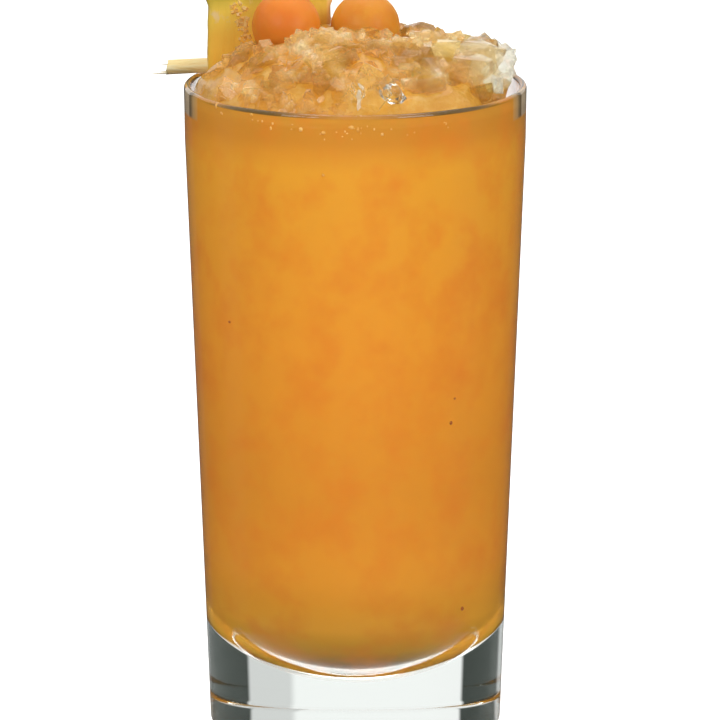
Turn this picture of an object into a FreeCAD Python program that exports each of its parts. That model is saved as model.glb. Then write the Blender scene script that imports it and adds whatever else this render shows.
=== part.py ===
"""A tall heavy-based glass of fruit punch under crushed ice, with a pineapple and melon garnish.

Millimetres, +Z up. The origin is the centre of the flat foot that the glass stands on. The glass is
served facing -Y, and its garnish stands towards -X, a little behind the middle.
"""
import FreeCAD
import Part
import math
import os
import random

# Glass: a pressed tumbler with a thick solid base.
GLASS_HEIGHT = 133.4
RIM_RADIUS = 35.0
WALL_AT_RIM = 1.5
UPPER_BAND = 11.0  # height of the almost upright band under the rim
UPPER_BAND_TAPER = 0.15  # how much narrower the glass is at the foot of that band
HEEL_RADIUS = 29.9  # outside radius just above the foot
HEEL_ROUND = 0.8  # rounding between wall and foot
WALL_AT_BASE = 2.8
BASE_THICKNESS = 10.8  # solid glass under the middle of the cavity
BOWL_DEPTH = 27.0  # height over which the cavity's wall rounds in to its bottom

# Punch: fills the cavity up to a level below the rim.
LEVEL_BELOW_RIM = 7.5
PUNCH_CLEARANCE = 0.02

# Crushed ice: a heap that stands on the punch and rises above the rim.
ICE_WALL_CLEARANCE = 0.3
ICE_GARNISH_CLEARANCE = 0.05
ICE_PEAK = 13.0  # height above the rim in the middle
ICE_EDGE_RIGHT = 5.0  # height above the rim at the wall, on each side
ICE_EDGE_FRONT = -2.0
ICE_EDGE_LEFT = 4.0
ICE_EDGE_BACK = 1.5
ICE_FULLNESS = 3.0  # a larger power keeps the top level for longer before it falls to the wall
ICE_SIDES = 6  # the heap's facets are laid out as a disc of six-sided rings
ICE_RINGS = 9
ICE_LUMP = 1.5  # most that a corner stands proud of the smooth heap, or lies below it
ICE_SEED = 11
ICE_GAP_WIDTH = 5.4  # free space left between the ice and the wall, on the left
ICE_GAP_HALF_ANGLE = 12.0

# Pineapple: a thick upright cut with its rind on top.
PINEAPPLE_WIDTH = 25.0
PINEAPPLE_THICKNESS = 8.5
PINEAPPLE_FRONT = 4.5
PINEAPPLE_WALL_CLEARANCE = 0.7  # between its back corner and the inside of the rim
PINEAPPLE_FOOT = -4.0  # its ends, measured from the rim
PINEAPPLE_SHOULDER = 15.0
RIND_DEPTH = 5.0
RIND_LIP = 0.7  # how far the rind stands out past the cut sides
RIND_EYES = 2
RIND_EYE_HEIGHT = 1.3

# Melon balls: one leans on the front of the pineapple and one on its right side.
MELON_BALL_DIAMETER = 14.3
MELON_CLEARANCE = 0.1
LEFT_BALL_INSET = 16.1  # its centre, from the pineapple's left side
LEFT_BALL_LOWEST = 5.25  # height above the rim
RIGHT_BALL_Y = 1.0
RIGHT_BALL_LOWEST = 4.35

# Bamboo pick: rests on the rim and runs edge-on through the pineapple.
PICK_DIAMETER = 3.1
PICK_LENGTH = 60.0
PICK_OVERHANG = 9.9  # from its rest on the rim to its tip
PICK_TIP_SLANT = 3.6
PICK_REST_ANGLE = 161.0  # where it crosses the rim, in degrees round from +X
PICK_HEADING = -6.8  # its direction seen from above, in degrees from +X
PICK_RISE = 2.3
PICK_CLEARANCE = 0.05

UP = FreeCAD.Vector(0, 0, 1)
RIM_INNER_RADIUS = RIM_RADIUS - WALL_AT_RIM
PUNCH_LEVEL = GLASS_HEIGHT - LEVEL_BELOW_RIM
BAND_FOOT = GLASS_HEIGHT - UPPER_BAND
PINEAPPLE_BACK = PINEAPPLE_FRONT + PINEAPPLE_THICKNESS
PINEAPPLE_LEFT = -math.sqrt((RIM_INNER_RADIUS - PINEAPPLE_WALL_CLEARANCE) ** 2 - PINEAPPLE_BACK**2)
BALL_RADIUS = MELON_BALL_DIAMETER / 2
QUARTER_ELLIPSE_WEIGHT = math.sqrt(0.5)  # of the middle pole of a three-pole curve


def at(radius, height):
    """A point of a turned profile, drawn in the XZ plane."""
    return FreeCAD.Vector(radius, 0, height)


def line(start, end):
    return Part.LineSegment(start, end).toShape()


def arc_about(centre, start, end):
    """The short arc from start to end round centre."""
    half_way = (start - centre) + (end - centre)
    middle = centre + half_way.normalize() * start.distanceToPoint(centre)
    return Part.Arc(start, middle, end).toShape()


def turned(edges):
    """The solid that a closed profile sweeps round the Z axis."""
    return Part.Face(Part.Wire(edges)).revolve(FreeCAD.Vector(), UP, 360)


def outer_radius(height):
    """Radius of the outside wall on its straight run from the heel to the upper band."""
    share = (height - HEEL_ROUND) / (BAND_FOOT - HEEL_ROUND)
    return HEEL_RADIUS + share * (RIM_RADIUS - UPPER_BAND_TAPER - HEEL_RADIUS)


def cavity_edges(top, inset):
    """The cavity's profile from its top point down to the axis, moved inwards by inset."""
    lowest = at(0, BASE_THICKNESS + inset)
    bend = at(outer_radius(BAND_FOOT) - WALL_AT_RIM - inset, BAND_FOOT)
    corner = at(outer_radius(BASE_THICKNESS) - WALL_AT_BASE - inset, lowest.z)
    wall_end = corner + (bend - corner) * (BOWL_DEPTH / (BAND_FOOT - BASE_THICKNESS))
    bowl = Part.BezierCurve()
    bowl.setPoles([wall_end, corner, lowest])
    bowl.setWeight(2, QUARTER_ELLIPSE_WEIGHT)
    return [line(top, bend), line(bend, wall_end), bowl.toShape()]


def inner_band_radius(height):
    """Radius of the inner wall on the upper band."""
    share = (GLASS_HEIGHT - height) / UPPER_BAND
    return RIM_INNER_RADIUS - share * UPPER_BAND_TAPER


def glass():
    """The tumbler, with its flat foot, rounded heel, fire-polished rim and bowl-shaped cavity."""
    rim_round = WALL_AT_RIM / 2
    heel_centre = at(HEEL_RADIUS - HEEL_ROUND, HEEL_ROUND)
    foot_edge = at(heel_centre.x, 0)
    heel_top = at(HEEL_RADIUS, HEEL_ROUND)
    band_foot = at(outer_radius(BAND_FOOT), BAND_FOOT)
    rim_outside = at(RIM_RADIUS, GLASS_HEIGHT - rim_round)
    rim_top = at(RIM_RADIUS - rim_round, GLASS_HEIGHT)
    rim_inside = at(RIM_INNER_RADIUS, GLASS_HEIGHT - rim_round)
    edges = [
        line(at(0, 0), foot_edge),
        arc_about(heel_centre, foot_edge, heel_top),
        line(heel_top, band_foot),
        line(band_foot, rim_outside),
        Part.Arc(rim_outside, rim_top, rim_inside).toShape(),
    ]
    edges += cavity_edges(rim_inside, 0)
    edges.append(line(at(0, BASE_THICKNESS), at(0, 0)))
    return turned(edges)


def punch():
    """The drink, which fills the cavity up to its level."""
    edge = at(inner_band_radius(PUNCH_LEVEL) - PUNCH_CLEARANCE, PUNCH_LEVEL)
    edges = cavity_edges(edge, PUNCH_CLEARANCE)
    edges.append(line(at(0, BASE_THICKNESS + PUNCH_CLEARANCE), at(0, PUNCH_LEVEL)))
    edges.append(line(at(0, PUNCH_LEVEL), edge))
    return turned(edges)


def ice_edge_height(angle):
    """Height of the heap at the wall, blended between its four sides."""
    across = ICE_EDGE_RIGHT if math.cos(angle) > 0 else ICE_EDGE_LEFT
    along = ICE_EDGE_BACK if math.sin(angle) > 0 else ICE_EDGE_FRONT
    return across * math.cos(angle) ** 2 + along * math.sin(angle) ** 2


def ice_reach(angle):
    """How far the heap spreads: to the wall, but for the free space on the left."""
    reach = inner_band_radius(PUNCH_LEVEL) - ICE_WALL_CLEARANCE
    from_left = abs(math.degrees(angle) - 180)
    return reach - ICE_GAP_WIDTH if from_left < ICE_GAP_HALF_ANGLE else reach


def ice_corner(ring, step, lumps):
    """A corner of the heap's uneven top."""
    angle = 2 * math.pi * step / (ICE_SIDES * ring) if ring else 0
    share = ring / ICE_RINGS
    radius = share * ice_reach(angle)
    edge = ice_edge_height(angle)
    height = edge + (ICE_PEAK - edge) * (1 - share**ICE_FULLNESS)
    height += lumps.uniform(-ICE_LUMP, ICE_LUMP)
    return FreeCAD.Vector(radius * math.cos(angle), radius * math.sin(angle), GLASS_HEIGHT + height)


def facet(*corners):
    return Part.Face(Part.makePolygon([*corners, corners[0]]))


def ring_facets(inner, outer):
    """The triangles between one ring of corners and the next, which has one more corner on each side."""
    faces = []
    on_side = len(outer) // ICE_SIDES
    for step in range(len(outer)):
        side, along = divmod(step, on_side)
        near = side * (on_side - 1) + along
        start = inner[near % len(inner)]
        ahead = outer[(step + 1) % len(outer)]
        faces.append(facet(start, outer[step], ahead))
        if along < on_side - 1:
            faces.append(facet(start, ahead, inner[(near + 1) % len(inner)]))
    return faces


def ice_heap():
    """The heap as one faceted solid, from the punch's level out to its uneven top."""
    lumps = random.Random(ICE_SEED)
    rings = [[ice_corner(0, 0, lumps)]]
    for ring in range(1, ICE_RINGS + 1):
        rings.append([ice_corner(ring, step, lumps) for step in range(ICE_SIDES * ring)])
    faces = []
    for inner, outer in zip(rings, rings[1:]):
        faces += ring_facets(inner, outer)
    top_edge = rings[-1]
    foot = [FreeCAD.Vector(p.x, p.y, PUNCH_LEVEL) for p in top_edge]
    faces.append(facet(*foot))
    for here in range(len(foot)):
        there = (here + 1) % len(foot)
        faces.append(facet(foot[here], foot[there], top_edge[there], top_edge[here]))
    shell = Part.Shell(faces)
    shell.sewShape()
    return Part.Solid(shell)


def pineapple(grown=0.0):
    """The pineapple cut: straight cut sides, then the rind with its lip and its bulging eyes."""
    left = PINEAPPLE_LEFT - grown
    right = PINEAPPLE_LEFT + PINEAPPLE_WIDTH + grown
    foot = GLASS_HEIGHT + PINEAPPLE_FOOT - grown
    shoulder = GLASS_HEIGHT + PINEAPPLE_SHOULDER
    top = shoulder + RIND_DEPTH + grown
    front = PINEAPPLE_FRONT - grown
    outline = [(right + RIND_LIP, top), (right + RIND_LIP, shoulder + RIND_LIP), (right, shoulder)]
    outline += [(right, foot), (left, foot)]
    outline += [(left, shoulder), (left - RIND_LIP, shoulder + RIND_LIP), (left - RIND_LIP, top)]
    corners = [FreeCAD.Vector(x, front, z) for x, z in outline]
    edges = [line(a, b) for a, b in zip(corners, corners[1:])]
    eye_step = (corners[0] - corners[-1]) * (1 / RIND_EYES)
    for eye in range(RIND_EYES):
        start = corners[-1] + eye_step * eye
        crown = start + eye_step * 0.5 + UP * RIND_EYE_HEIGHT
        edges.append(Part.Arc(start, crown, start + eye_step).toShape())
    return Part.Face(Part.Wire(edges)).extrude(FreeCAD.Vector(0, PINEAPPLE_THICKNESS + 2 * grown, 0))


def left_ball_centre():
    behind = PINEAPPLE_FRONT - MELON_CLEARANCE - BALL_RADIUS
    height = GLASS_HEIGHT + LEFT_BALL_LOWEST + BALL_RADIUS
    return FreeCAD.Vector(PINEAPPLE_LEFT + LEFT_BALL_INSET, behind, height)


def right_ball_centre():
    beside = PINEAPPLE_LEFT + PINEAPPLE_WIDTH + MELON_CLEARANCE + BALL_RADIUS
    return FreeCAD.Vector(beside, RIGHT_BALL_Y, GLASS_HEIGHT + RIGHT_BALL_LOWEST + BALL_RADIUS)


def melon_ball(centre, grown=0.0):
    return Part.makeSphere(BALL_RADIUS + grown, centre)


def pick(grown=0.0):
    """The pick, laid along +X from its slanted tip and then set down on the rim."""
    radius = PICK_DIAMETER / 2 + grown
    rod = Part.makeCylinder(radius, PICK_LENGTH + grown, FreeCAD.Vector(), FreeCAD.Vector(1, 0, 0))
    corners = [
        FreeCAD.Vector(-grown, -radius, -radius),
        FreeCAD.Vector(PICK_TIP_SLANT - grown, -radius, radius),
        FreeCAD.Vector(-grown, -radius, radius),
    ]
    slant = facet(*corners).extrude(FreeCAD.Vector(0, 2 * radius, 0))
    rod = rod.cut(slant)
    crest = RIM_RADIUS - WALL_AT_RIM / 2
    rest = math.radians(PICK_REST_ANGLE)
    height = GLASS_HEIGHT + PICK_CLEARANCE + PICK_DIAMETER / 2 / math.cos(math.radians(PICK_RISE))
    rod.translate(FreeCAD.Vector(-PICK_OVERHANG, 0, 0))
    rod.rotate(FreeCAD.Vector(), FreeCAD.Vector(0, 1, 0), -PICK_RISE)
    rod.rotate(FreeCAD.Vector(), UP, PICK_HEADING)
    rod.translate(FreeCAD.Vector(crest * math.cos(rest), crest * math.sin(rest), height))
    return rod


def ice_round_garnish():
    """The heap, with room for the garnish that is pushed into it."""
    garnish = [
        pineapple(ICE_GARNISH_CLEARANCE),
        melon_ball(left_ball_centre(), ICE_GARNISH_CLEARANCE),
        melon_ball(right_ball_centre(), ICE_GARNISH_CLEARANCE),
        pick(ICE_GARNISH_CLEARANCE),
    ]
    heap = ice_heap()
    for piece in garnish:
        heap = heap.cut(piece)
    return max(heap.Solids, key=lambda solid: solid.Volume)


def main():
    nodes = {
        "glass": glass(),
        "punch": punch(),
        "ice_heap": ice_round_garnish(),
        "pineapple_wedge": pineapple().cut(pick(PICK_CLEARANCE)),
        "melon_ball_left": melon_ball(left_ball_centre()),
        "melon_ball_right": melon_ball(right_ball_centre()),
        "bamboo_pick": pick(),
    }
    os.makedirs("parts", exist_ok=True)
    for name, shape in nodes.items():
        shape.exportStep(f"parts/{name}.step")
        print(name, "valid", shape.isValid(), "solids", len(shape.Solids), "volume", round(shape.Volume, 1))


main()
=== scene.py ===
import math
import random

import bmesh
import bpy
from mathutils import Euler, Matrix, Vector, noise
from mathutils.bvhtree import BVHTree


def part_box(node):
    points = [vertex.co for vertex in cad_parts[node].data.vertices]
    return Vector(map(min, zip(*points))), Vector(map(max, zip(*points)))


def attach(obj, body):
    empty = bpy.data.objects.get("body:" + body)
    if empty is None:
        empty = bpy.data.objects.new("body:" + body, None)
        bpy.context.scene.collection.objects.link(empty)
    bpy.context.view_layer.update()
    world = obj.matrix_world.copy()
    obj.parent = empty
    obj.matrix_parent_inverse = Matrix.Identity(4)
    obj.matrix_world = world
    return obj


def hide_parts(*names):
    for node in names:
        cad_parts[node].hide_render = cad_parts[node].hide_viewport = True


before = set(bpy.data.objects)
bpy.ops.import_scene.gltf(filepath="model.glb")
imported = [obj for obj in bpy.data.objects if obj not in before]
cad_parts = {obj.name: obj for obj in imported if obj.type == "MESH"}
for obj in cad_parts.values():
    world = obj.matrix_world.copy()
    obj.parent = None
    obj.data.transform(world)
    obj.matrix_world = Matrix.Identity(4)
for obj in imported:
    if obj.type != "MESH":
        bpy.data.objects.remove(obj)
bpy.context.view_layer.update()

MM = 0.001


# ---- The tumbler ---------------------------------------------------------------------------------
# A pressed soda-lime tumbler with a solid base. It is turned about its axis: a flat foot, a rounded
# heel, an almost straight wall, a fire-polished rim, and a cavity with a bowl-shaped bottom.

glass_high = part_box("glass")[1]
punch_low, punch_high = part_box("punch")
rim_height = glass_high.z
rim_radius = glass_high.x
base_thickness = punch_low.z
wall_at_rim = 1.5 * MM
wall_at_base = 2.8 * MM
band_foot = rim_height - 11.0 * MM
band_radius = rim_radius - 0.15 * MM
heel_radius = 29.9 * MM
wall_foot = 0.8 * MM
heel_arc = 2.0 * MM
heel_crease = 30
bowl_depth = 27.0 * MM
bowl_steps = 40


def wall_radius(z):
    """Outside radius of the straight wall at height z."""
    share = (z - wall_foot) / (band_foot - wall_foot)
    return heel_radius + share * (band_radius - heel_radius)


def arc(centre_r, centre_z, radius, start, end, steps):
    """Points of a round stretch of a profile, from angle start to end in degrees."""
    angles = [math.radians(start + (end - start) * i / steps) for i in range(steps + 1)]
    return [(centre_r + radius * math.cos(a), centre_z + radius * math.sin(a)) for a in angles]


def straight(start, end, steps):
    """Points between start and end, without either."""
    shares = [i / steps for i in range(1, steps)]
    return [(start[0] + (end[0] - start[0]) * s, start[1] + (end[1] - start[1]) * s) for s in shares]


def cavity_profile(top, outset):
    """The cavity from its top point down to the axis, moved out into the glass by outset.

    Its bowl is about a quarter of an ellipse, drawn as a rational curve from the wall to the middle of
    the bottom, by way of the corner that the two would make.
    """
    lowest = base_thickness - outset
    bend = (band_radius - wall_at_rim + outset, band_foot)
    corner = (wall_radius(base_thickness) - wall_at_base + outset, lowest)
    share = bowl_depth / (band_foot - base_thickness)
    wall_end = (corner[0] + (bend[0] - corner[0]) * share, lowest + (bend[1] - lowest) * share)
    bowl = []
    for i in range(bowl_steps + 1):
        t = i / bowl_steps
        start, middle, end = (1 - t) ** 2, 2 * math.sqrt(0.5) * t * (1 - t), t**2
        total = start + middle + end
        bowl.append(
            ((start * wall_end[0] + middle * corner[0]) / total,
             (start * wall_end[1] + middle * corner[1] + end * lowest) / total)
        )
    return [top, *straight(top, bend, 4), bend, *straight(bend, wall_end, 16), *bowl]


def turn(name, profile, steps):
    """A closed solid of revolution, from a profile of (radius, height) points that ends on the axis."""
    bm = bmesh.new()
    points = [bm.verts.new((r, 0, z)) for r, z in profile]
    edges = [bm.edges.new(pair) for pair in zip(points, points[1:])]
    bmesh.ops.spin(bm, geom=points + edges, cent=(0, 0, 0), axis=(0, 0, 1), angle=2 * math.pi,
                   steps=steps, use_merge=True)
    bmesh.ops.remove_doubles(bm, verts=bm.verts, dist=1e-6)
    bmesh.ops.recalc_face_normals(bm, faces=bm.faces)
    return piece(name, bm)


def piece(name, bm, smooth=True):
    """Turns a finished bmesh into a piece of the object, which stands with the rest of it."""
    for face in bm.faces:
        face.smooth = smooth
    mesh = bpy.data.meshes.new(name)
    bm.to_mesh(mesh)
    bm.free()
    obj = bpy.data.objects.new(name, mesh)
    bpy.context.scene.collection.objects.link(obj)
    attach(obj, "root")
    return obj


def rgb(red, green, blue):
    """A colour named by its 0 to 255 screen values, as the linear values that a shader takes."""
    parts = [c / 255 for c in (red, green, blue)]
    return (*[c / 12.92 if c <= 0.04045 else ((c + 0.055) / 1.055) ** 2.4 for c in parts], 1)


def material(name, **sockets):
    """A Principled material with plain values on its own sockets, and its coordinate node."""
    made = bpy.data.materials.new(name)
    made.use_nodes = True
    shader = made.node_tree.nodes["Principled BSDF"]
    for socket, value in sockets.items():
        shader.inputs[socket.replace("_", " ")].default_value = value
    place = made.node_tree.nodes.new("ShaderNodeTexCoord").outputs["Object"]
    return made, made.node_tree, shader, place


def noise_on(tree, place, scale, detail=3.0, roughness=0.5, stretch=None):
    """A noise pattern over the object's own coordinates, drawn out along an axis by stretch."""
    node = tree.nodes.new("ShaderNodeTexNoise")
    node.inputs["Scale"].default_value = scale
    node.inputs["Detail"].default_value = detail
    node.inputs["Roughness"].default_value = roughness
    if stretch:
        mapping = tree.nodes.new("ShaderNodeMapping")
        mapping.inputs["Scale"].default_value = stretch
        tree.links.new(place, mapping.inputs["Vector"])
        place = mapping.outputs["Vector"]
    tree.links.new(place, node.inputs["Vector"])
    return node.outputs["Fac"]


def ramp(tree, value, stops):
    """Colours over a value, as (position, colour) stops."""
    node = tree.nodes.new("ShaderNodeValToRGB")
    bar = node.color_ramp.elements
    while len(bar) < len(stops):
        bar.new(0.5)
    for element, (position, colour) in zip(bar, stops):
        element.position = position
        element.color = colour
    tree.links.new(value, node.inputs["Fac"])
    return node.outputs["Color"]


def bump(tree, shader, height, distance, strength):
    """Fine relief on a surface, from a pattern of heights."""
    node = tree.nodes.new("ShaderNodeBump")
    node.inputs["Distance"].default_value = distance
    node.inputs["Strength"].default_value = strength
    tree.links.new(height, node.inputs["Height"])
    tree.links.new(node.outputs["Normal"], shader.inputs["Normal"])


rim_round = wall_at_rim / 2
heel_rise = heel_arc * math.sin(math.radians(heel_crease))
heel = arc(heel_radius - heel_arc, heel_rise, heel_arc, -heel_crease, 0, 6)
glass_profile = [(0, 0), *straight((0, 0), heel[0], 8), *heel]
heel_top = heel[-1]
band_edge = (band_radius, band_foot)
rim_outside = (rim_radius, rim_height - rim_round)
glass_profile += [*straight(heel_top, band_edge, 20), band_edge, *straight(band_edge, rim_outside, 4)]
glass_profile += arc(rim_radius - rim_round, rim_height - rim_round, rim_round, 0, 180, 14)
rim_inside = (rim_radius - wall_at_rim, rim_height - rim_round)
glass_profile += cavity_profile(rim_inside, 0)[1:]
tumbler = turn("tumbler", glass_profile, 192)

# The heel meets the flat foot in a crease.
foot_edge = heel[0][0] - 0.01 * MM
for edge in tumbler.data.edges:
    ends = [tumbler.data.vertices[i].co for i in edge.vertices]
    edge.use_edge_sharp = all(end.z < 1e-6 and math.hypot(end.x, end.y) > foot_edge for end in ends)
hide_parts("glass")

glass, tree, shader, place = material("clear_glass", Base_Color=(1, 1, 1, 1), Roughness=0.0, IOR=1.5,
                                      Transmission_Weight=1.0)
bump(tree, shader, noise_on(tree, place, 60, 1.0), 0.00003, 0.3)
tint = tree.nodes.new("ShaderNodeVolumeAbsorption")
tint.inputs["Color"].default_value = (0.62, 0.86, 0.68, 1)
tint.inputs["Density"].default_value = 3
tree.links.new(tint.outputs["Volume"], tree.nodes["Material Output"].inputs["Volume"])
tumbler.data.materials.append(glass)
tumbler.visible_shadow = False


# ---- The punch -----------------------------------------------------------------------------------
# Cloudy orange fruit punch, poured in up to its level. It wets the wall, so it reaches just into the
# glass, and its surface climbs the wall in a thin meniscus. Pulp makes it patchy.

punch_level = punch_high.z
wetting = 0.12 * MM
film = 0.3 * MM
film_top = rim_height - 0.8 * MM
film_lip = 0.2 * MM
meniscus = 0.7 * MM
meniscus_round = 3 * MM
thin_film_from = 31.3 * MM
dry_half_angle = 12
dry_fade = 4
dry_turn = 12
inner_radius = rim_radius - wall_at_rim - 0.1 * MM
wet_radius = inner_radius + wetting
film_face = wet_radius - film
level_middle = (0, punch_level)
level_edge = (inner_radius - meniscus_round, punch_level)
punch_profile = [level_middle, *straight(level_middle, level_edge, 10)]
meniscus_middle = (film_face - meniscus_round, punch_level + meniscus_round)
punch_profile += arc(*meniscus_middle, meniscus_round, -90, -40, 6)[:-1]
film_foot = (film_face, punch_level + meniscus)
film_end = (film_face, film_top)
punch_profile += [film_foot, *straight(film_foot, film_end, 6), film_end]
punch_profile += cavity_profile((wet_radius, film_top + film_lip), wetting)
punch = turn("fruit_punch", punch_profile, 160)


def wetted(angle):
    """1 where the ice keeps the wall wet, down to 0 a little behind the sides, where it is dry."""
    turned = math.degrees(angle)
    off_side = min(abs(turned - dry_turn), abs(turned - 180 + dry_turn), abs(turned + 180 + dry_turn))
    return max(0.0, min(1.0, (off_side - dry_half_angle) / dry_fade))


# The film has a slightly ragged top, and ends at the meniscus where the wall is dry.
for vert in punch.data.vertices:
    above = vert.co.z - punch_level - meniscus
    if above > 0:
        angle = math.atan2(vert.co.y, vert.co.x)
        ragged = 0.98 + 0.02 * noise.noise(Vector((vert.co.x, vert.co.y, 0)) * 180)
        vert.co.z = punch_level + meniscus + above * wetted(angle) * ragged
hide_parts("punch")


def between(tree, value, start, end):
    """0 where a value is at start, 1 where it is at end, and evenly between."""
    node = tree.nodes.new("ShaderNodeMapRange")
    node.inputs["From Min"].default_value = start
    node.inputs["From Max"].default_value = end
    tree.links.new(value, node.inputs["Value"])
    return node.outputs["Result"]


def math_node(tree, operation, *values):
    """One step of arithmetic on values, which are plain numbers or other nodes' results."""
    node = tree.nodes.new("ShaderNodeMath")
    node.operation = operation
    for socket, value in zip(node.inputs, values):
        if isinstance(value, (int, float)):
            socket.default_value = value
        else:
            tree.links.new(value, socket)
    return node.outputs["Value"]


def blend(tree, share, under, over):
    """The colour under, covered by the colour over as far as share says."""
    node = tree.nodes.new("ShaderNodeMix")
    node.data_type = "RGBA"
    tree.links.new(share, node.inputs["Factor"])
    for socket, colour in (("A", under), ("B", over)):
        if isinstance(colour, tuple):
            node.inputs[socket].default_value = colour
        else:
            tree.links.new(colour, node.inputs[socket])
    return node.outputs["Result"]


def punch_colour(tree, place):
    """Orange with soft redder patches, and with light and shade painted in by height: browner low in the
    base, where little light reaches it, and just under the rim, where it lies in shade.

    A dark line of painted shade runs along the top of the film, except in the middle. In front, at the
    two sides, the film over the level is thin: paler, with a dark stripe of painted shade.
    """
    axis = tree.nodes.new("ShaderNodeSeparateXYZ")
    tree.links.new(place, axis.inputs["Vector"])
    height = axis.outputs["Z"]
    off_centre = math_node(tree, "ABSOLUTE", axis.outputs["X"])
    # Painted light and shade by height: dark olive low in the base, where little light reaches it, and
    # browner just under the rim, in shade.
    body = ramp(tree, between(tree, height, base_thickness, rim_height),
                [(0.0, rgb(70, 60, 32)), (0.045, rgb(98, 80, 38)), (0.055, rgb(166, 124, 48)),
                 (0.072, rgb(206, 152, 54)), (0.115, rgb(240, 170, 60)), (0.17, rgb(236, 162, 56)),
                 (0.35, rgb(230, 157, 54)), (0.6, rgb(238, 164, 56)), (0.9, rgb(236, 172, 58)),
                 (0.93, rgb(228, 160, 56)), (0.95, rgb(218, 150, 54)), (0.987, rgb(210, 146, 54))])
    patches = ramp(tree, noise_on(tree, place, 100, 4.0, 0.6, (1, 1, 0.85)),
                   [(0.44, (0, 0, 0, 1)), (0.72, (0.6, 0.6, 0.6, 1))])
    patchy = blend(tree, patches, body, rgb(230, 135, 49))

    # A dark line of painted shade along the top of the film, except in the middle.
    under_rim = between(tree, height, rim_height - 1.05 * MM, rim_height - 0.95 * MM)
    off_middle = between(tree, off_centre, 3 * MM, 17 * MM)
    with_painted_shade_line = blend(tree, math_node(tree, "MULTIPLY", under_rim, off_middle), patchy, rgb(112, 88, 44))

    # Where the film is thin at the two sides in front: paler, with a dark stripe of painted shade.
    thin_film_and_painted_shade = ramp(tree, between(tree, off_centre, thin_film_from, inner_radius),
                     [(0.0, rgb(206, 158, 88)), (0.3, rgb(184, 150, 102)), (0.52, rgb(110, 92, 62)),
                      (0.6, rgb(110, 92, 62)), (0.7, rgb(192, 172, 140))])
    thin = between(tree, off_centre, thin_film_from - 0.3 * MM, thin_film_from)
    above_level = between(tree, height, punch_level + 1.9 * MM, punch_level + 2.5 * MM)
    in_front = between(tree, axis.outputs["Y"], 0, -1 * MM)
    for limit in (above_level, in_front):
        thin = math_node(tree, "MULTIPLY", thin, limit)
    return blend(tree, thin, with_painted_shade_line, thin_film_and_painted_shade)


against_glass, tree, shader, place = material("punch_against_glass", Roughness=0.02, IOR=1.36 / 1.5)
tree.links.new(punch_colour(tree, place), shader.inputs["Base Color"])
open_surface, tree, shader, place = material("punch_surface", Roughness=0.05, IOR=1.34)
tree.links.new(punch_colour(tree, place), shader.inputs["Base Color"])
bump(tree, shader, noise_on(tree, place, 300, 2.0), 0.0002, 0.3)
punch.data.materials.append(against_glass)
punch.data.materials.append(open_surface)
for face in punch.data.polygons:
    face.material_index = 1 if face.normal.z > 0.2 else 0


# ---- The crushed ice -----------------------------------------------------------------------------
# Ice from a crusher, heaped on the punch: a core of slush, with chips and small grains soaked with
# punch on it, larger chips with broken faces to the right, and clear dry ones at the far right.

left_gap = 3.3 * MM
right_gap = 3.6 * MM
dip_at = 16 * MM
dip_width = 8 * MM
bare_heading = -56
bare_half_angle = 22
down = Vector((0, 0, -1))
glint_at = Vector((2.4, -28.4, 0)) * MM + Vector((0, 0, rim_height + 3.2 * MM))


def surface_of(*nodes):
    """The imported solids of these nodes, ready to be hit by rays."""
    bm = bmesh.new()
    for node in nodes:
        bm.from_mesh(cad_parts[node].data)
    tree = BVHTree.FromBMesh(bm)
    bm.free()
    return tree


heap_top = surface_of("ice_heap")
garnish = surface_of("pineapple_wedge", "melon_ball_left", "melon_ball_right", "bamboo_pick")
garnish_top = surface_of("pineapple_wedge", "melon_ball_left", "melon_ball_right")


def dip(x, depth):
    """How far the heap sinks towards the middle of its right half, where it sinks by depth."""
    return depth * math.exp(-(((x - dip_at) / dip_width) ** 2))


def heap_height(x, y):
    """Height of the heap at a place, or None off the heap and under the garnish."""
    start = Vector((x, y, rim_height + 0.1))
    if garnish_top.ray_cast(start, down)[0]:
        return None
    hit = heap_top.ray_cast(start, down)[0]
    if hit is None:
        return None
    left_slope = max(0, -23 * MM - x) * 0.5
    return hit.z - left_slope - dip(x, 2.4 * MM)


def slush_reach(angle):
    """Radius of the slush: up to the wet wall, but well clear of it on the left and on the right."""
    gap = right_gap if math.cos(angle) > 0 else left_gap
    wall_clearance = 0.15 * MM
    return inner_radius - wall_clearance - gap * (1 - wetted(angle))


def bare_slush(x, y):
    """1 in front to the right, close to the wall, where the slush lies bare, and 0 away from there."""
    turned = math.degrees(math.atan2(y, x)) - bare_heading
    near_wall = (math.hypot(x, y) / MM - 25) / 3
    return math.exp(-((turned / bare_half_angle) ** 2)) * max(0, min(1, near_wall))


def slush_height(x, y, share):
    """Height of the slush core at a share of its reach: a dome that stays under the chips.

    Edge, crown, depth and lump are in millimetres. The depth below the chips grows to the right.
    """
    angle = math.atan2(y, x)
    across = 5 if x > 0 else 2
    along = 1.5 if y > 0 else -2
    edge = across * math.cos(angle) ** 2 + along * math.sin(angle) ** 2
    crown = 13
    lump = noise.noise(Vector((x, y, 0)) * 260) + noise.noise(Vector((x, y, 5)) * 700) * 0.4
    depth = 1.3 + 3 / (1 + math.exp(-(x / MM - 8) / 3)) + max(0, x / MM - 23) * 1.4
    depth *= 1 - 0.85 * bare_slush(x, y)
    dome = (edge + (crown - edge) * (1 - share**3) - depth + lump) * MM
    dome -= dip(x, 1.8 * MM)
    against_wall = (inner_radius - math.hypot(x, y)) * 2.6 - 1.6 * MM
    return max(punch_level - 0.1 * MM, rim_height + min(dome, against_wall))


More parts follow.
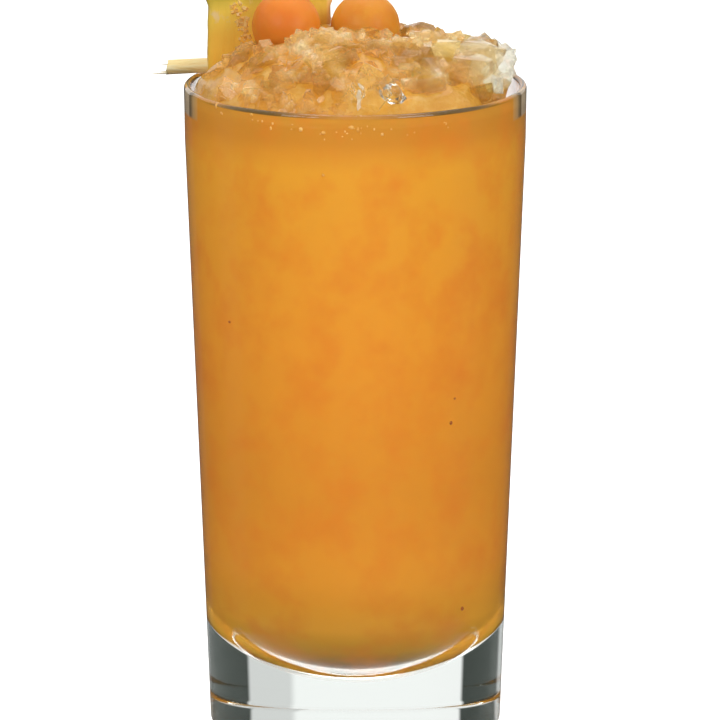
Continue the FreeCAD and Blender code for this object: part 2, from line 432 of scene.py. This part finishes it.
# The slush is a disc, spun from one spoke, that is drawn out to its reach and raised into its dome. A
# skirt goes down from its edge into the punch, and closes it below.
rings = 30
bm = bmesh.new()
points = [bm.verts.new((i / rings, 0, 0)) for i in range(rings + 1)]
edges = [bm.edges.new(pair) for pair in zip(points, points[1:])]
bmesh.ops.spin(bm, geom=points + edges, cent=(0, 0, 0), axis=(0, 0, 1), angle=2 * math.pi, steps=120,
               use_merge=True)
bmesh.ops.remove_doubles(bm, verts=bm.verts, dist=1e-4)
for vert in bm.verts:
    share = vert.co.length
    vert.co *= slush_reach(math.atan2(vert.co.y, vert.co.x))
    vert.co.z = slush_height(vert.co.x, vert.co.y, share)
outer_edges = [edge for edge in bm.edges if edge.is_boundary]
skirt = bmesh.ops.extrude_edge_only(bm, edges=outer_edges)["geom"]
for part in skirt:
    if isinstance(part, bmesh.types.BMVert):
        part.co.z = punch_level - 0.2 * MM
bmesh.ops.edgeloop_fill(bm, edges=[edge for edge in bm.edges if edge.is_boundary])
bmesh.ops.recalc_face_normals(bm, faces=bm.faces)
slush = piece("ice_slush", bm)
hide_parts("ice_heap")

soaked, tree, shader, place = material("ice_soaked_with_punch", Roughness=0.12, IOR=1.31,
                                       Coat_Weight=0.4, Coat_Roughness=0.05)
tint = ramp(tree, noise_on(tree, place, 320, 4.0, 0.65),
            [(0.30, rgb(208, 146, 54)), (0.5, rgb(214, 155, 60)), (0.64, rgb(219, 167, 78)),
             (0.8, rgb(225, 184, 106))])
tree.links.new(tint, shader.inputs["Base Color"])
bump(tree, shader, noise_on(tree, place, 900, 3.0, 0.6), 0.0005, 0.8)
slush.data.materials.append(soaked)


def broken_chip(rolls, size, faces, edge_round):
    """One chip of ice: a block with its corners broken off by flat faces."""
    chip = bmesh.new()
    bmesh.ops.create_cube(chip, size=1)
    stretch = Vector([rolls.uniform(0.65, 1.15) for axis in range(3)])
    bmesh.ops.scale(chip, vec=stretch, verts=chip.verts)
    for face in range(faces):
        away = Vector([rolls.gauss(0, 1) for axis in range(3)]).normalized()
        cut = away * rolls.uniform(0.3, 0.46)
        geom = chip.verts[:] + chip.edges[:] + chip.faces[:]
        bmesh.ops.bisect_plane(chip, geom=geom, dist=1e-5, plane_co=cut, plane_no=away, clear_outer=True)
        open_edges = [edge for edge in chip.edges if edge.is_boundary]
        if open_edges:
            bmesh.ops.edgeloop_fill(chip, edges=open_edges)
    bmesh.ops.remove_doubles(chip, verts=chip.verts, dist=0.01)
    if edge_round:
        bmesh.ops.bevel(chip, geom=chip.edges[:], offset=edge_round, offset_type="OFFSET", segments=1,
                        profile=0.5, affect="EDGES", clamp_overlap=True, material=-1)
    bmesh.ops.scale(chip, vec=(size, size, size), verts=chip.verts)
    turn_by = Euler([rolls.uniform(0, 2 * math.pi) for axis in range(3)]).to_matrix()
    bmesh.ops.rotate(chip, cent=(0, 0, 0), matrix=turn_by, verts=chip.verts)
    bmesh.ops.recalc_face_normals(chip, faces=chip.faces)
    return chip


def lay(bm, chip, place):
    """Moves a chip to its place, or as near as the wall lets it, and adds it to the others."""
    bmesh.ops.translate(chip, vec=place, verts=chip.verts)
    reach = max(math.hypot(vert.co.x, vert.co.y) for vert in chip.verts)
    outward = Vector((place.x, place.y, 0)).normalized()
    too_far = max(0, reach - inner_radius + 0.3 * MM)
    bmesh.ops.translate(chip, vec=-outward * too_far, verts=chip.verts)
    loose = bpy.data.meshes.new("chip")
    chip.to_mesh(loose)
    chip.free()
    bm.from_mesh(loose)
    bpy.data.meshes.remove(loose)


def ice_piece(name, bm, look):
    """Makes chips a piece of the object. It throws no shadow, because light passes through ice."""
    made = piece(name, bm, smooth=False)
    made.data.materials.append(look)
    made.visible_shadow = False


def kept_free(x, y):
    """Whether a place stays free of chips: round the shiny chips, between the balls, on bare slush."""
    by_glint = math.hypot(x - glint_at.x, y - glint_at.y) < 4.5 * MM
    between_balls = abs(x + 5.3 * MM) < 2.6 * MM and y > -8 * MM
    return by_glint or between_balls or bare_slush(x, y) > 0.35


def chips(name, seed, count, sizes, spot, faces, edge_round, proud, look):
    """Scatters chips over the heap where spot says, so that each stands proud of it by a little."""
    tries_per_chip = 14
    reach = 32
    rolls = random.Random(seed)
    bm = bmesh.new()
    laid = 0
    for _ in range(count * tries_per_chip):
        if laid == count:
            break
        x, y = rolls.uniform(-reach, reach) * MM, rolls.uniform(-reach, reach) * MM
        size = rolls.uniform(*sizes) * MM
        if math.hypot(x, y) + size * 0.3 > inner_radius or not spot(x / MM, y / MM, rolls):
            continue
        if kept_free(x, y):
            continue
        height = heap_height(x, y)
        if height is None:
            continue
        chip = broken_chip(rolls, size, faces, edge_round)
        top = max(vert.co.z for vert in chip.verts)
        at = Vector((x, y, height - top + rolls.uniform(*proud) * MM))
        near = garnish.find_nearest(at)
        if near[0] and near[3] < size * 0.42:
            chip.free()
            continue
        lay(bm, chip, at)
        laid += 1
    ice_piece(name, bm, look)


def ice(name, transmission, tints, index=1.31):
    """Ice of a kind, with a tint that changes from chip to chip."""
    made, tree, shader, place = material(name, Roughness=0.04, IOR=index, Transmission_Weight=transmission)
    stops = [(0.36, rgb(*tints[0])), (0.5, rgb(*tints[1])), (0.64, rgb(*tints[2]))]
    tree.links.new(ramp(tree, noise_on(tree, place, 130, 1.5), stops), shader.inputs["Base Color"])
    bump(tree, shader, noise_on(tree, place, 450, 2.0), 0.0003, 0.5)
    return made


clear_ice = ice("ice_clear", 0.84, ((246, 248, 240), (252, 252, 246), (255, 255, 252)))
tinted_ice = ice("ice_tinted_by_punch", 0.86, ((226, 194, 128), (238, 220, 178), (248, 242, 218)))
soaked_ice = ice("ice_soaked", 0.88, ((222, 190, 112), (233, 208, 138), (244, 228, 178)))
grain_ice = ice("ice_grains", 0.8, ((236, 202, 136), (243, 219, 166), (251, 239, 206)))
frost = ice("ice_frost", 0.35, ((242, 194, 104), (248, 210, 132), (253, 230, 168)))
glint_ice = ice("ice_glint", 1.0, ((240, 246, 242), (250, 252, 250), (255, 255, 255)), 1.4)


def to_the_right(x, y, rolls):
    """Mostly on the right half, but not at the far right."""
    return x < 28 and rolls.random() < 1 / (1 + math.exp(-(x - 8) / 4))


def below_the_fruit(x, y, rolls):
    """Thick round the foot of the fruit, and thin elsewhere."""
    near = math.hypot((x + 8) / 8, (y + 9) / 8)
    return x < 22 and rolls.random() < 0.22 + 0.78 / (1 + math.exp((near - 1) * 6))


def far_right(x, y, rolls):
    """Only at the far right."""
    return x > 25


def all_over(x, y, rolls):
    """Everywhere but at the far right, and thinner on the right half."""
    return x < 27 and (x < 6 or rolls.random() < 0.4)


chips("ice_large_chips", 3, 34, (7.5, 12.5), to_the_right, 7, 0.02, (-1.0, 0.7), tinted_ice)
chips("ice_chips", 5, 230, (4, 7.5), all_over, 6, 0.03, (-1.0, 0.5), soaked_ice)
chips("ice_clear_chips", 7, 30, (3, 5.5), far_right, 7, 0.03, (-0.8, 1.0), clear_ice)
chips("ice_grains", 9, 300, (1.2, 3.0), below_the_fruit, 5, 0, (-0.5, 0.8), grain_ice)

# A few clear chips lie in front, close to the wall, and shine. Each has its place to the side of their
# middle, and its size, in millimetres.
rolls = random.Random(2)
bm = bmesh.new()
for aside, size in ((-2.2, 5), (0.4, 8), (3.6, 6), (5.2, 4), (-3.4, 4)):
    chip = broken_chip(rolls, size * MM, 8, 0.03)
    lay(bm, chip, glint_at + Vector((aside, 0, rolls.uniform(-1, 1))) * MM)
ice_piece("ice_clear_chips_in_front", bm, glint_ice)

# Small cracked slivers, whiter than the rest, lie beside those chips: their whiteness is partly cracked
# ice and partly a painted highlight. Each has its place from the middle of the rim and its size, in
# millimetres, and its lean, in degrees.
cracked_ice_and_highlight = ice("ice_cracked_white_highlight", 0.6, ((244, 222, 184), (250, 238, 216), (255, 250, 242)))
rolls = random.Random(6)
bm = bmesh.new()
slivers = [(1.3, -28.6, 4.4, 1.8, -20), (0.8, -29.8, 2.8, 2.2, -8), (0.7, -30.8, 1.4, 1.8, 6),
           (6.4, -28.4, 4.6, 1.2, -60)]
for x, y, z, size, lean in slivers:
    sliver = broken_chip(rolls, size * MM, 6, 0.03)
    bmesh.ops.scale(sliver, vec=(0.5, 0.5, 1.1), verts=sliver.verts)
    bmesh.ops.rotate(sliver, cent=(0, 0, 0), matrix=Matrix.Rotation(math.radians(lean), 3, "Y"),
                     verts=sliver.verts)
    lay(bm, sliver, Vector((x * MM, y * MM, rim_height + z * MM)))
ice_piece("ice_cracked_slivers", bm, cracked_ice_and_highlight)


# ---- The bubbles and the pulp at the wall --------------------------------------------------------
# Bubbles of froth cling to the inside of the wall round the level, most of them in front; their pale
# colour is partly the froth's own and partly painted highlight. A few dark specks of pulp lie against
# the glass lower down.


def beads(name, places, look):
    """Small uneven beads at the wall, mostly sunk into the punch, each with its angle, height and radius."""
    low_wall = wall_radius(base_thickness) - wall_at_base
    high_wall = band_radius - wall_at_rim
    shapes = random.Random(name)
    bm = bmesh.new()
    for angle, height, radius in places:
        around = math.radians(angle)
        share = (height - base_thickness) / (band_foot - base_thickness)
        wall = low_wall * (1 - share) + high_wall * share
        away = min(wall, inner_radius) + wetting - radius * 0.35
        place = Matrix.Translation((away * math.cos(around), away * math.sin(around), height))
        place = place @ Matrix.Diagonal((*[shapes.uniform(0.6, 1.3) for axis in range(3)], 1))
        bmesh.ops.create_icosphere(bm, subdivisions=2, radius=radius, matrix=place)
    made = piece(name, bm)
    made.data.materials.append(look)


# Each cluster of bubbles has its angle round the wall, its height from the rim in millimetres, its
# spread in degrees, and its number of bubbles.
rolls = random.Random(4)
clusters = [(-143, -2.2, 2.5, 3), (-126, -2.5, 2.2, 4), (-119, -2.8, 0.8, 2), (-109, -3.0, 3.0, 3),
            (-98, -4.5, 4.0, 5), (-92, -3.0, 3.0, 8), (-84, -2.6, 2.5, 6), (-58, -3.2, 2.0, 4),
            (-70, -4.2, 4.0, 2), (-101, -11.9, 0.3, 1), (60, -3.0, 20.0, 10)]
bubbles = []
for around, below_rim, spread, count in clusters:
    for _ in range(count):
        height = rim_height + (below_rim + rolls.gauss(0, 0.7)) * MM
        bubbles.append((rolls.gauss(around, spread), height, rolls.triangular(0.12, 0.5, 0.2) * MM))
# The pale froth colour is partly painted highlight, standing in for the bubbles' sparkle.
froth, tree, shader, place = material("froth_bubbles", Roughness=0.35, IOR=1.34)
tint = ramp(tree, noise_on(tree, place, 300, 1.0), [(0.4, rgb(236, 178, 84)), (0.6, rgb(246, 204, 124))])
tree.links.new(tint, shader.inputs["Base Color"])
beads("froth_bubbles", bubbles, froth)

# Each speck has its angle, its height and its radius.
specks = [(-141.6, 88 * MM, 0.45 * MM), (-50.5, 73 * MM, 0.35 * MM), (-52, 68 * MM, 0.5 * MM),
          (-42.4, 28 * MM, 0.45 * MM)]
pulp, tree, shader, place = material("pulp_specks", Roughness=0.4, IOR=1.34)
tint = ramp(tree, noise_on(tree, place, 900, 2.0), [(0.4, rgb(150, 84, 36)), (0.6, rgb(176, 100, 42))])
tree.links.new(tint, shader.inputs["Base Color"])
beads("pulp_specks", specks, pulp)


# ---- The pineapple -------------------------------------------------------------------------------
# A thick upright cut of pineapple with its rind on top. The flesh is wet and fibrous, golden low
# down and greener under the rind, and the cut edges are soft.

wedge_low, wedge_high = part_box("pineapple_wedge")
lip = 0.7 * MM
lip_growth = 2 * MM
eye_rise = 1.3 * MM
eye_growth = 4 * MM
wedge_left = wedge_low.x + lip
wedge_right = wedge_high.x - lip
rind_foot = rim_height + 15 * MM
wedge_size = Vector((wedge_right - wedge_left, wedge_high.y - wedge_low.y,
                     wedge_high.z - eye_rise - wedge_low.z))
wedge_middle = Vector(((wedge_left + wedge_right) / 2, (wedge_low.y + wedge_high.y) / 2,
                       wedge_low.z + wedge_size.z / 2))
edge_round = 0.9 * MM

# The block has soft edges. At its rind it grows a lip to both sides and rises into two eyes, and fibres
# and dents roughen it.
bm = bmesh.new()
bmesh.ops.create_cube(bm, size=1)
bmesh.ops.subdivide_edges(bm, edges=bm.edges[:], cuts=27, use_grid_fill=True)
bmesh.ops.scale(bm, vec=wedge_size, verts=bm.verts)
inner = wedge_size / 2 - Vector((1, 1, 1)) * edge_round
for vert in bm.verts:
    core = Vector([max(-limit, min(limit, c)) for c, limit in zip(vert.co, inner)])
    vert.co = core + (vert.co - core).normalized() * edge_round + wedge_middle
    above = max(0, min(1, (vert.co.z - rind_foot) / lip_growth))
    across = (vert.co.x - wedge_middle.x) / (wedge_size.x / 2)
    vert.co.x += across * above * lip
    eye = abs(math.sin(math.pi * (across + 1)))
    vert.co.z += eye_rise * eye * max(0, min(1, (vert.co.z - rind_foot) / eye_growth))
    fibre = noise.noise(Vector((vert.co.x * 900, vert.co.y * 900, vert.co.z * 160)))
    dent = noise.noise(vert.co * 220)
    out = (vert.co - wedge_middle).normalized()
    vert.co += out * (fibre * 0.16 + dent * 0.22) * MM
bmesh.ops.recalc_face_normals(bm, faces=bm.faces)
wedge = piece("pineapple_cut", bm)
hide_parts("pineapple_wedge")

flesh, tree, shader, place = material("pineapple_flesh_and_rind", Roughness=0.32, IOR=1.38)
axis = tree.nodes.new("ShaderNodeSeparateXYZ")
tree.links.new(place, axis.inputs["Vector"])
uneven = math_node(tree, "MULTIPLY_ADD", noise_on(tree, place, 130, 3.0), 5 * MM, axis.outputs["Z"])
body = ramp(tree, between(tree, uneven, wedge_low.z + 2.5 * MM, wedge_high.z + 2.5 * MM),
            [(0.0, rgb(252, 196, 74)), (0.5, rgb(252, 199, 78)), (0.74, rgb(249, 213, 88)),
             (0.86, rgb(214, 190, 72)), (0.91, rgb(140, 128, 56)), (0.98, rgb(98, 80, 42))])
fibres = noise_on(tree, place, 700, 3.0, 0.6, (1, 1, 0.16))
pale_flecks = ramp(tree, noise_on(tree, place, 260, 4.0, 0.62, (1, 1, 0.7)),
                   [(0.60, (0, 0, 0, 1)), (0.68, (1, 1, 1, 1))])
flecked = blend(tree, pale_flecks, body, rgb(244, 212, 144))
left_lip = between(tree, axis.outputs["X"], wedge_left, wedge_left - 0.5 * MM)
with_rind = blend(tree, left_lip, flecked, rgb(104, 96, 44))
# A pale strip down the right edge of the cut is a painted highlight.
right_edge_highlight = between(tree, axis.outputs["X"], wedge_right - 0.9 * MM, wedge_right - 0.3 * MM)
with_painted_highlight = blend(tree, right_edge_highlight, with_rind, rgb(252, 214, 136))
tree.links.new(with_painted_highlight, shader.inputs["Base Color"])
bump(tree, shader, fibres, 0.0004, 0.7)
wedge.data.materials.append(flesh)

# Grains of ice cling to the face of the cut, on its right half.
rolls = random.Random(12)
bm = bmesh.new()
for _ in range(60):
    size = rolls.triangular(0.4, 1.3, 0.6) * MM
    along = rolls.random()
    height = rim_height + (5 + 11 * along) * MM
    across = wedge_left + (8.2 - 2.2 * along + rolls.gauss(0, 0.7)) * MM
    lay(bm, broken_chip(rolls, size, 4, 0), Vector((across, wedge_low.y - size * 0.12, height)))
ice_piece("ice_grains_on_pineapple", bm, frost)


# ---- The melon balls -----------------------------------------------------------------------------
# Two balls of orange melon, cut with a scoop: smooth, wet and a little uneven, with faint marks where
# the scoop turned. One leans on the front of the pineapple, and one stands in the ice beside it.


def melon_ball(name, node, seed, colours):
    """One ball, the size of its solid and in its place, with its deep, usual and light colours."""
    low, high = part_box(node)
    centre = (low + high) / 2
    radius = (high.x - low.x) / 2
    bm = bmesh.new()
    bmesh.ops.create_uvsphere(bm, u_segments=64, v_segments=40, radius=radius)
    for vert in bm.verts:
        uneven = noise.noise(vert.co * 130 + Vector((seed, 0, 0))) * 0.22
        uneven += noise.noise(vert.co * 600 + Vector((seed, 3, 0))) * 0.06
        vert.co *= 1 + (uneven - 0.1) * MM / radius
    bmesh.ops.rotate(bm, cent=(0, 0, 0), matrix=Euler((0.6, 0.3, seed)).to_matrix(), verts=bm.verts)
    bmesh.ops.translate(bm, vec=centre, verts=bm.verts)
    ball = piece(name, bm)
    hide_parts(node)
    look, tree, shader, place = material(name + "_flesh", Roughness=0.45, IOR=1.33, Subsurface_Weight=1.0,
                                         Subsurface_Radius=(1, 0.6, 0.3), Subsurface_Scale=12 * MM)
    deep, usual, light = colours
    tint = ramp(tree, noise_on(tree, place, 170, 3.0, 0.5),
                [(0.36, rgb(*deep)), (0.52, rgb(*usual)), (0.72, rgb(*light))])
    tree.links.new(tint, shader.inputs["Base Color"])
    bump(tree, shader, noise_on(tree, place, 800, 3.0, 0.6), 0.0002, 0.5)
    ball.data.materials.append(look)


melon_ball("melon_ball_front", "melon_ball_left", 2.0, ((223, 127, 40), (226, 132, 42), (229, 139, 45)))
melon_ball("melon_ball_side", "melon_ball_right", 7.0, ((213, 134, 40), (214, 140, 42), (217, 148, 46)))


# ---- The bamboo pick -----------------------------------------------------------------------------
# A pick split from bamboo: straight, not quite round, and snapped off at its end, with splinters left
# on it. It rests on the rim and runs through the pineapple.

pick_radius = 1.55 * MM
pick_length = 60 * MM
snapped_at = 3.3 * MM
overhang = 9.9 * MM
rest_at = math.radians(161)
heading = math.radians(-6.8)
rise = math.radians(4.2)

bm = bmesh.new()
bmesh.ops.create_cone(bm, cap_ends=True, segments=36, radius1=pick_radius, radius2=pick_radius,
                      depth=pick_length - snapped_at)
long_edges = [edge for edge in bm.edges if abs(edge.verts[0].co.z - edge.verts[1].co.z) > 1 * MM]
bmesh.ops.subdivide_edges(bm, edges=long_edges, cuts=70, use_grid_fill=True)
bmesh.ops.rotate(bm, cent=(0, 0, 0), matrix=Matrix.Rotation(math.pi / 2, 3, "Y"), verts=bm.verts)
bmesh.ops.translate(bm, vec=((pick_length + snapped_at) / 2, 0, 0), verts=bm.verts)
for vert in bm.verts:
    around = math.atan2(vert.co.z, vert.co.y)
    fibre = noise.noise(Vector((math.cos(around) * 4, math.sin(around) * 4, vert.co.x * 60)))
    flat = 0.07 * (1 - math.cos(4 * around)) / 2
    squeeze = 1 - flat - 0.04 * abs(fibre)
    vert.co.y *= squeeze
    vert.co.z *= squeeze
    if vert.co.x < snapped_at + 0.1 * MM:
        jagged = noise.noise(Vector((around * 3, 2, 0))) * 0.5 + (vert.co.z / pick_radius) * 0.35
        vert.co.x += (0.4 + jagged) * MM

# Each splinter has the place of its tip along, above and beside the pick's axis, its length and its
# thickness, in millimetres.
splinters = [(0.1, -1.2, 0.0, 5.5, 0.30), (1.9, -0.95, 0.5, 3.5, 0.22), (2.4, 0.7, -0.6, 3.0, 0.2)]
for tip, height, aside, length, thick in splinters:
    lie = Matrix.Translation(Vector((tip + length / 2, aside, height)) * MM)
    lie = lie @ Matrix.Rotation(math.pi / 2, 4, "Y")
    bmesh.ops.create_cone(bm, cap_ends=True, segments=8, radius1=0.03 * MM, radius2=thick * MM,
                          depth=length * MM, matrix=lie)

# The pick leans on the crest of the rim.
crest = rim_radius - wall_at_rim / 2
resting = Vector((crest * math.cos(rest_at), crest * math.sin(rest_at),
                  rim_height + 0.05 * MM + pick_radius / math.cos(rise)))
laid = Matrix.Translation(resting) @ Matrix.Rotation(heading, 4, "Z") @ Matrix.Rotation(-rise, 4, "Y")
bmesh.ops.transform(bm, matrix=laid @ Matrix.Translation((-overhang, 0, 0)), verts=bm.verts)
bmesh.ops.recalc_face_normals(bm, faces=bm.faces)
pick = piece("bamboo_stick", bm)
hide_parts("bamboo_pick")

cane, tree, shader, place = material("bamboo", Roughness=0.45, IOR=1.45)
grain = noise_on(tree, place, 1100, 3.0, 0.6, (0.05, 1, 1))
tint = ramp(tree, grain, [(0.3, rgb(228, 194, 120)), (0.5, rgb(252, 228, 162)), (0.7, rgb(255, 244, 200))])
tree.links.new(tint, shader.inputs["Base Color"])
bump(tree, shader, grain, 0.0003, 0.6)
pick.data.materials.append(cane)


# ---- The floor, the light and the camera ---------------------------------------------------------
# The glass stands on a plain white floor in a bright-field studio: soft light ahead, behind and
# above, and darkness to the sides, which draws the edges of the glass.

bm = bmesh.new()
bmesh.ops.create_grid(bm, x_segments=1, y_segments=1, size=30)
mesh = bpy.data.meshes.new("floor")
bm.to_mesh(mesh)
bm.free()
floor = bpy.data.objects.new("floor", mesh)
bpy.context.scene.collection.objects.link(floor)
floor.location.z = -0.05 * MM
floor_white = material("floor_white", Base_Color=(0.6, 0.6, 0.6, 1), Roughness=0.9,
                       Emission_Color=(1, 1, 1, 1), Emission_Strength=0.85)[0]
floor.data.materials.append(floor_white)
floor.visible_transmission = False
floor.visible_glossy = False
floor.visible_diffuse = False

world = bpy.data.worlds.new("studio")
bpy.context.scene.world = world
world.use_nodes = True
tree = world.node_tree
tree.nodes.clear()


def fade(value, start, end, low=0, high=1):
    """A soft step in the studio's light, from low before start to high after end."""
    node = tree.nodes.new("ShaderNodeMapRange")
    node.interpolation_type = "SMOOTHSTEP"
    tree.links.new(value, node.inputs["Value"])
    for socket, number in zip(("From Min", "From Max", "To Min", "To Max"), (start, end, low, high)):
        node.inputs[socket].default_value = number
    return node.outputs["Result"]


def times(first, second):
    """Two of the light's values multiplied."""
    return math_node(tree, "MULTIPLY", first, second)


def without(value):
    """What a value leaves of 1."""
    return math_node(tree, "SUBTRACT", 1, value)


direction = tree.nodes.new("ShaderNodeSeparateXYZ")
tree.links.new(tree.nodes.new("ShaderNodeTexCoord").outputs["Generated"], direction.inputs["Vector"])
x, y, z = (direction.outputs[axis] for axis in "XYZ")
aside = math_node(tree, "ABSOLUTE", x)
ahead = math_node(tree, "ABSOLUTE", y)
off_axis = math_node(tree, "DEGREES", math_node(tree, "ARCTAN2", aside, ahead))

# Dark cards stand level with the glass on both sides, from 35 degrees off the line of sight. Behind the
# glass the left card is the narrower one, and each card has its like straight across.
on_left = math_node(tree, "LESS_THAN", times(x, y), 0)
left_card = times(fade(off_axis, 34, 36.5), fade(off_axis, 66, 76, 1, 0))
right_card = times(fade(off_axis, 34, 36.5), fade(off_axis, 74, 84, 1, 0))
card = math_node(tree, "ADD", times(on_left, left_card), times(without(on_left), right_card))
card = times(card, fade(math_node(tree, "ABSOLUTE", z), 0.26, 0.36, 1, 0))

# The light is weaker in front of the glass than behind it. On the right a veil dims it off the line of
# sight, and little of it is mirrored from below.
ray = tree.nodes.new("ShaderNodeLightPath")
bright = fade(y, -0.05, 0.05, 0.75, 1)
veil = times(without(on_left), fade(off_axis, 16, 19))
bright = times(bright, without(times(veil, 0.3)))
mirrored_low = times(ray.outputs["Is Reflection Ray"], fade(z, -0.1, 0.05, 1, 0))
bright = times(bright, without(times(mirrored_low, 0.92)))
lit = blend(tree, card, bright, rgb(54, 60, 56))
light = tree.nodes.new("ShaderNodeBackground")
tree.links.new(blend(tree, ray.outputs["Is Camera Ray"], lit, (1, 1, 1, 1)), light.inputs["Color"])
tree.links.new(light.outputs["Background"], tree.nodes.new("ShaderNodeOutputWorld").inputs["Surface"])


def softbox(name, place, aim, size, power):
    """A soft lamp at a place, facing its aim."""
    lamp = bpy.data.lights.new(name, "AREA")
    lamp.shape = "RECTANGLE"
    lamp.size, lamp.size_y = size
    lamp.energy = power
    obj = bpy.data.objects.new(name, lamp)
    obj.location = place
    obj.rotation_euler = (Vector(place) - Vector(aim)).to_track_quat("Z", "Y").to_euler()
    bpy.context.scene.collection.objects.link(obj)


glass_middle = (0, 0, 0.08)
softbox("key_light", (-0.56, -0.68, 0.56), glass_middle, (0.4, 0.4), 2.7)
softbox("fill_light", (0.58, -0.64, 0.5), glass_middle, (0.4, 0.4), 2.6)
softbox("top_light", (0.1, 0.25, 0.9), glass_middle, (0.6, 0.4), 1.5)

camera_aside = 0.00096
camera = bpy.data.objects.new("camera", bpy.data.cameras.new("camera"))
bpy.context.scene.collection.objects.link(camera)
camera.data.lens = 489.7
camera.data.sensor_width = 36
camera.data.clip_start = 0.05
camera.data.clip_end = 100
camera.location = (camera_aside, -1.9649, 0.5065)
aim = Vector((camera_aside, 0, 0.0756))
camera.rotation_euler = (camera.location - aim).to_track_quat("Z", "Y").to_euler()
bpy.context.scene.camera = camera
bpy.context.scene.view_settings.view_transform = "Standard"

bpy.context.view_layer.update()
